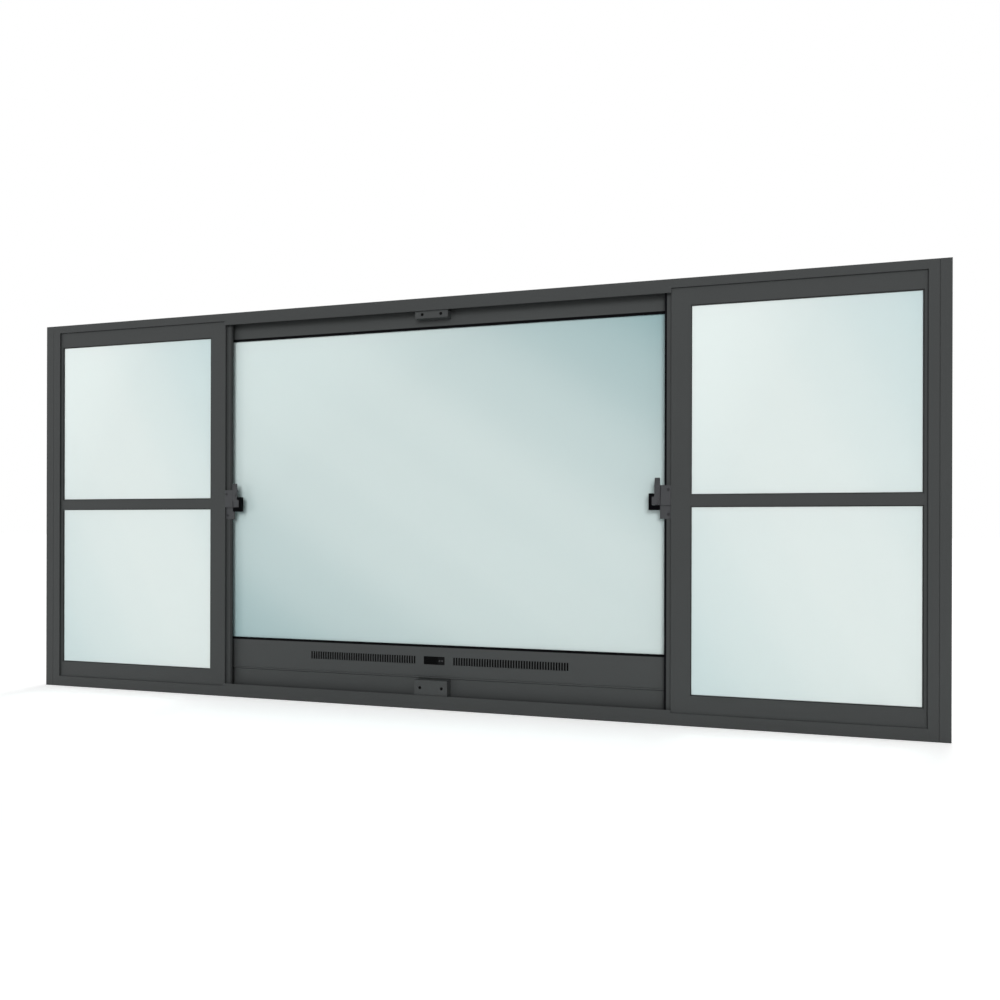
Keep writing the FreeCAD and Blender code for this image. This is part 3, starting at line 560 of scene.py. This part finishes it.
def add_screw(mesh, centre, radius, tall):
    """A sunk head that faces the front: its face at the centre, its underside behind."""
    rings = [add_ring(mesh, centre, radius * share, tall * depth) for share, depth in HEAD_STEPS]
    skin(mesh, rings)
    mesh.faces.new(rings[0])
    arm, half = radius * CROSS_ARM, radius * CROSS_HALF
    corners = [(half, arm), (-half, arm), (-half, half), (-arm, half), (-arm, -half),
               (-half, -half), (-half, -arm), (half, -arm), (half, -half), (arm, -half),
               (arm, half), (half, half)]
    mouth, sunk = [
        [mesh.verts.new(centre + Vector((across * share, tall * depth, up * share)))
         for across, up in corners] for share, depth in ((1.0, 0.0), (CROSS_TAPER, CROSS_DEPTH))]
    skin(mesh, [mouth, sunk])
    mesh.faces.new(sunk)
    rim = [mesh.edges.get(pair) for loop in (rings[-1], mouth) for pair in pairs(loop)]
    bmesh.ops.triangle_fill(mesh, edges=rim, use_beauty=True)


print("a head of", len(HEAD_STEPS), "rings with a cross in it")

# %% [markdown]
# ## Screws in the stop blocks
# Each stop block shows two dark dots. They are the heads of its screws, a little below the face.
# The top pair stands closer together than the bottom one.

# %% Screws in the stop blocks
STOP_SCREW_HEAD, STOP_SCREW_TALL, STOP_SCREW_SUNK = 0.0044, 0.0023, 0.0006
TOP_PAIR, BOTTOM_PAIR = (1.2015, 0.060), (0.0635, 0.070)
stop_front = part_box("stop_blocks")[0].y
screws = bmesh.new()
for height, spacing in (TOP_PAIR, BOTTOM_PAIR):
    for across in (-spacing / 2, spacing / 2):
        place = Vector((across, stop_front + STOP_SCREW_SUNK, height))
        add_screw(screws, place, STOP_SCREW_HEAD, STOP_SCREW_TALL)
add_piece("stop_block_screws", screws, black_steel)
print("stop block screws behind y", round(stop_front, 4))

# %% [markdown]
# ## Screws in the latches
# A latch has one screw at each end. The lower one sits in the thin plate and the upper one in the
# case, whose face stands 8 mm further out. The latches mirror each other, so a small function
# gives the edge on the sash side and the way inwards from it.

# %% Screws in the latches
LATCH_SCREW_HEAD, LATCH_SCREW_TALL, LATCH_SCREW_SUNK = 0.0038, 0.0019, 0.0004
LATCH_SCREW_END, LATCH_SCREW_INSET, CASE_DEPTH = 0.013, 0.007, 0.008


def outer_edge(node, side):
    """The edge of a latch's piece on the sash side, and the way from it to the window's middle."""
    low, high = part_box(node)
    return (low.x, 1) if side == "left" else (high.x, -1)


for side in ("left", "right"):
    low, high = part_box(f"latch_{side}_base")
    edge, inwards = outer_edge(f"latch_{side}_base", side)
    across = edge + inwards * LATCH_SCREW_INSET
    screws = bmesh.new()
    for height, face in ((low.z + LATCH_SCREW_END, low.y + CASE_DEPTH),
                         (high.z - LATCH_SCREW_END, low.y)):
        place = Vector((across, face + LATCH_SCREW_SUNK, height))
        add_screw(screws, place, LATCH_SCREW_HEAD, LATCH_SCREW_TALL)
    add_piece(f"latch_{side}_screws", screws, grey_steel)
print("two screws in each latch")

# %% [markdown]
# ## Keys on the display
# The right third of the display is a slightly lighter field with two small round keys. The whole
# display is 68 mm wide, so the keys are only 6 mm across: a thin slab with rounded corners
# and two domed discs carry them, each less than a millimetre proud of the black face.

# %% A slab and a dome
CORNER_STEPS = 4
SLAB_STEPS = ((1.0, 0.0), (1.0, 0.6), (0.985, 1.0))
DOME_STEPS = ((1.0, 0.0), (0.96, 0.5), (0.8, 0.85), (0.4, 1.0))


def add_slab(mesh, centre, half_wide, half_high, round_by, thick):
    """A thin slab with rounded corners that faces the front, its rear on the centre's plane."""
    outline = []
    for quarter, (side, rise) in enumerate(((1, 1), (-1, 1), (-1, -1), (1, -1))):
        middle = Vector((side * (half_wide - round_by), 0, rise * (half_high - round_by)))
        for step in range(CORNER_STEPS + 1):
            turn = math.pi / 2 * (quarter + step / CORNER_STEPS)
            outline.append(middle + Vector((math.cos(turn), 0, math.sin(turn))) * round_by)
    closed(mesh, [[mesh.verts.new(centre + point * share + Vector((0, -thick * depth, 0)))
                   for point in outline] for share, depth in SLAB_STEPS])


def add_dome(mesh, centre, radius, tall):
    """A low dome that faces the front."""
    closed(mesh, [add_ring(mesh, centre, radius * share, -tall * depth)
                  for share, depth in DOME_STEPS])


print("a slab of", len(SLAB_STEPS), "layers and a dome of", len(DOME_STEPS), "rings")

# %% [markdown]
# ## Where the keys go
# The field lies on the display's front face, and the keys lie on the field. The box of that node
# gives the face's depth and the middle of its height, so nothing has to be typed in twice. Only
# the places along the display are measured from the picture.

# %% Keys on the display
FIELD_PLACE, FIELD_HALF_WIDE, FIELD_HALF_HIGH = 0.0225, 0.0105, 0.0115
FIELD_ROUND, FIELD_THICK = 0.0015, 0.0002
KEY_PLACES, KEY_RADIUS, KEY_TALL = (0.0175, 0.0265), 0.0028, 0.0005
low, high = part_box("display_module")
screen_level = (low.z + high.z) / 2
field = bmesh.new()
add_slab(field, Vector((FIELD_PLACE, low.y, screen_level)), FIELD_HALF_WIDE, FIELD_HALF_HIGH,
         FIELD_ROUND, FIELD_THICK)
add_piece("display_key_field", field, key_gloss)
keys = bmesh.new()
for across in KEY_PLACES:
    add_dome(keys, Vector((across, low.y - FIELD_THICK, screen_level)), KEY_RADIUS, KEY_TALL)
add_piece("display_keys", keys, key_print)
print("display keys on y", round(low.y, 4))

# %% [markdown]
# ## Ridges on the finger levers
# A fingertip pushes the lever, so its upper end has a few low ridges across. Each ridge is a bar
# with a rounded back, made from a half circle of points drawn along the lever's width.

# %% Ridges on the finger levers
RIDGE_RADIUS, RIDGE_PITCH, RIDGE_COUNT, RIDGE_STEPS = 0.0007, 0.003, 5, 8
RIDGE_START, RIDGE_END = 0.002, 0.0135
TOP_INSET, BOSS_HEIGHT = 0.004, 0.002


def add_ridge(mesh, left, right, face, height):
    """A bar along the lever's width with a half-round back towards the front."""
    turns = [math.pi * i / RIDGE_STEPS for i in range(RIDGE_STEPS + 1)]
    closed(mesh, [[mesh.verts.new((across, face - RIDGE_RADIUS * math.sin(turn),
                                   height + RIDGE_RADIUS * math.cos(turn)))
                   for turn in turns] for across in (left, right)])


for side in ("left", "right"):
    low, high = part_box(f"latch_{side}_lever")
    edge, inwards = outer_edge(f"latch_{side}_lever", side)
    ridges = bmesh.new()
    for i in range(RIDGE_COUNT):
        add_ridge(ridges, edge + inwards * RIDGE_START, edge + inwards * RIDGE_END,
                  low.y + BOSS_HEIGHT, high.z - TOP_INSET - i * RIDGE_PITCH)
    add_piece(f"latch_{side}_ridges", ridges, coats["latch_coat"])
print("ridges on each lever:", RIDGE_COUNT)

# %% [markdown]
# ## The floor
# The window stands on a pale floor. For the camera, and for rays that glass or gloss send on,
# some light of the floor's own lifts it to white, while its shadow stays.

# %% Floor
WHITE = (1.0, 1.0, 1.0)
FLOOR_HALF = 60.0
FLOOR_LIFT = 0.5


def looked_at(recipe):
    """1 for the camera and for rays from gloss and glass, 0 for rays that carry light about."""
    camera_ray = recipe.add("ShaderNodeLightPath", output="Is Camera Ray")
    glossy_ray, glass_ray = camera_ray.side("Is Glossy Ray"), camera_ray.side("Is Transmission Ray")
    return camera_ray.at_least(glossy_ray).at_least(glass_ray)


floor_recipe = Recipe("pale_floor")
speckle = floor_recipe.noise(scale=35.0, detail=3.0)
matt = floor_recipe.add("ShaderNodeBsdfPrincipled", {}, {
    "Base Color": speckle.shades(WHITE, dark=0.79, light=0.82), "Roughness": 1.0,
    "Specular IOR Level": 0.0})
lift = floor_recipe.add("ShaderNodeEmission", {}, {
    "Color": WHITE, "Strength": looked_at(floor_recipe) * FLOOR_LIFT})
pale_floor = floor_recipe.finish(floor_recipe.add("ShaderNodeAddShader", {}, {0: matt, 1: lift}))

ground = bmesh.new()
ground.faces.new([ground.verts.new((across * FLOOR_HALF, along * FLOOR_HALF, 0))
                  for across, along in ((-1, -1), (1, -1), (1, 1), (-1, 1))])
floor = mesh_object("floor", ground, pale_floor)
print("floor", 2 * FLOOR_HALF, "m wide")

# %% [markdown]
# ## The sky
# A plain white sky is the backdrop. The floor's switch makes it white to look at and milder as
# a lamp, so the paint keeps its written tone.

# %% Sky
SKY_LIGHT = 0.28
world = bpy.data.worlds.new("white_sky")
bpy.context.scene.world = world
sky = Recipe("white_sky", world)
strength = looked_at(sky) * (1 - SKY_LIGHT) + SKY_LIGHT
backdrop = sky.add("ShaderNodeBackground", {}, {"Color": WHITE, "Strength": strength})
sky.add("ShaderNodeOutputWorld", {}, {"Surface": backdrop})
print("sky light", SKY_LIGHT)

# %% [markdown]
# ## Lamps
# Milky glass at the bottom of a deep frame goes dark along its edges when most light comes from
# the sky. So the sky is mild, and two lamps in front stand a little to the right, where their
# shadows fall behind what casts them. One lamp on each side and one behind keep the other faces
# from going flat. Each is a sun with a wide disc: it lights the whole floor evenly, so no bright
# pool and no far dark band show through the glass, and its shadows stay soft.
# They are kept out of mirror images, because the panes to match carry no glare.

# %% Lamps
LAMP_DISC = math.radians(24)
MIDDLE = Vector((0.0, 0.0, 0.6))
LAMPS = {
    "key_lamp": ((1.4, -5.0, 1.6), 0.42),
    "fill_lamp": ((0.8, -5.0, 2.0), 0.14),
    "left_lamp": ((-5.0, 0.6, 2.8), 0.2),
    "right_lamp": ((5.0, 0.6, 2.8), 0.2),
    "rear_lamp": ((0.5, 3.6, 3.2), 0.45),
}


def add_lamp(name, place, level):
    """A wide sun from a place towards the middle; at level 1 it lights a facing white fully."""
    lamp = bpy.data.lights.new(name, "SUN")
    lamp.energy = level * math.pi
    lamp.angle = LAMP_DISC
    holder = new_object(name, lamp)
    holder.location = place
    holder.rotation_euler = (MIDDLE - Vector(place)).to_track_quat("-Z", "Y").to_euler()
    holder.visible_glossy = False


for name, (place, level) in LAMPS.items():
    add_lamp(name, place, level)
print("soft lamps:", len(LAMPS))

# %% [markdown]
# ## The camera
# The picture to match was taken from in front of the right half, turned a little to the left and
# level. Four corners of the front face gave this place, turn and lens. Its middle line lies lower
# in the picture than the middle of the frame, as with a lens that is shifted up, so a small shift
# does that here.

# %% Camera
CAMERA_PLACE = (0.9229, -2.4945, 0.5481)
CAMERA_TURN, CAMERA_ROLL = -0.2809, 0.0025
SENSOR_WIDTH = 36.0
PICTURE_WIDTH, FOCAL_PIXELS, SHIFT_PIXELS = 1000, 855.4, 29.1

lens = bpy.data.cameras.new("camera")
lens.sensor_width = SENSOR_WIDTH
lens.lens = SENSOR_WIDTH * FOCAL_PIXELS / PICTURE_WIDTH
lens.shift_y = SHIFT_PIXELS / PICTURE_WIDTH
camera = new_object("camera", lens)
forward = Vector((math.sin(CAMERA_TURN), math.cos(CAMERA_TURN), 0))
level_right = Vector((math.cos(CAMERA_TURN), -math.sin(CAMERA_TURN), 0))
upright = Vector((0, 0, 1))
right = level_right * math.cos(CAMERA_ROLL) + upright * math.sin(CAMERA_ROLL)
up = upright * math.cos(CAMERA_ROLL) - level_right * math.sin(CAMERA_ROLL)
turned = Matrix((right, up, -forward)).transposed().to_4x4()
camera.matrix_world = Matrix.Translation(CAMERA_PLACE) @ turned
bpy.context.scene.camera = camera
bpy.context.scene.view_settings.view_transform = "Standard"
print("camera at", CAMERA_PLACE, "lens", round(lens.lens, 2), "mm")
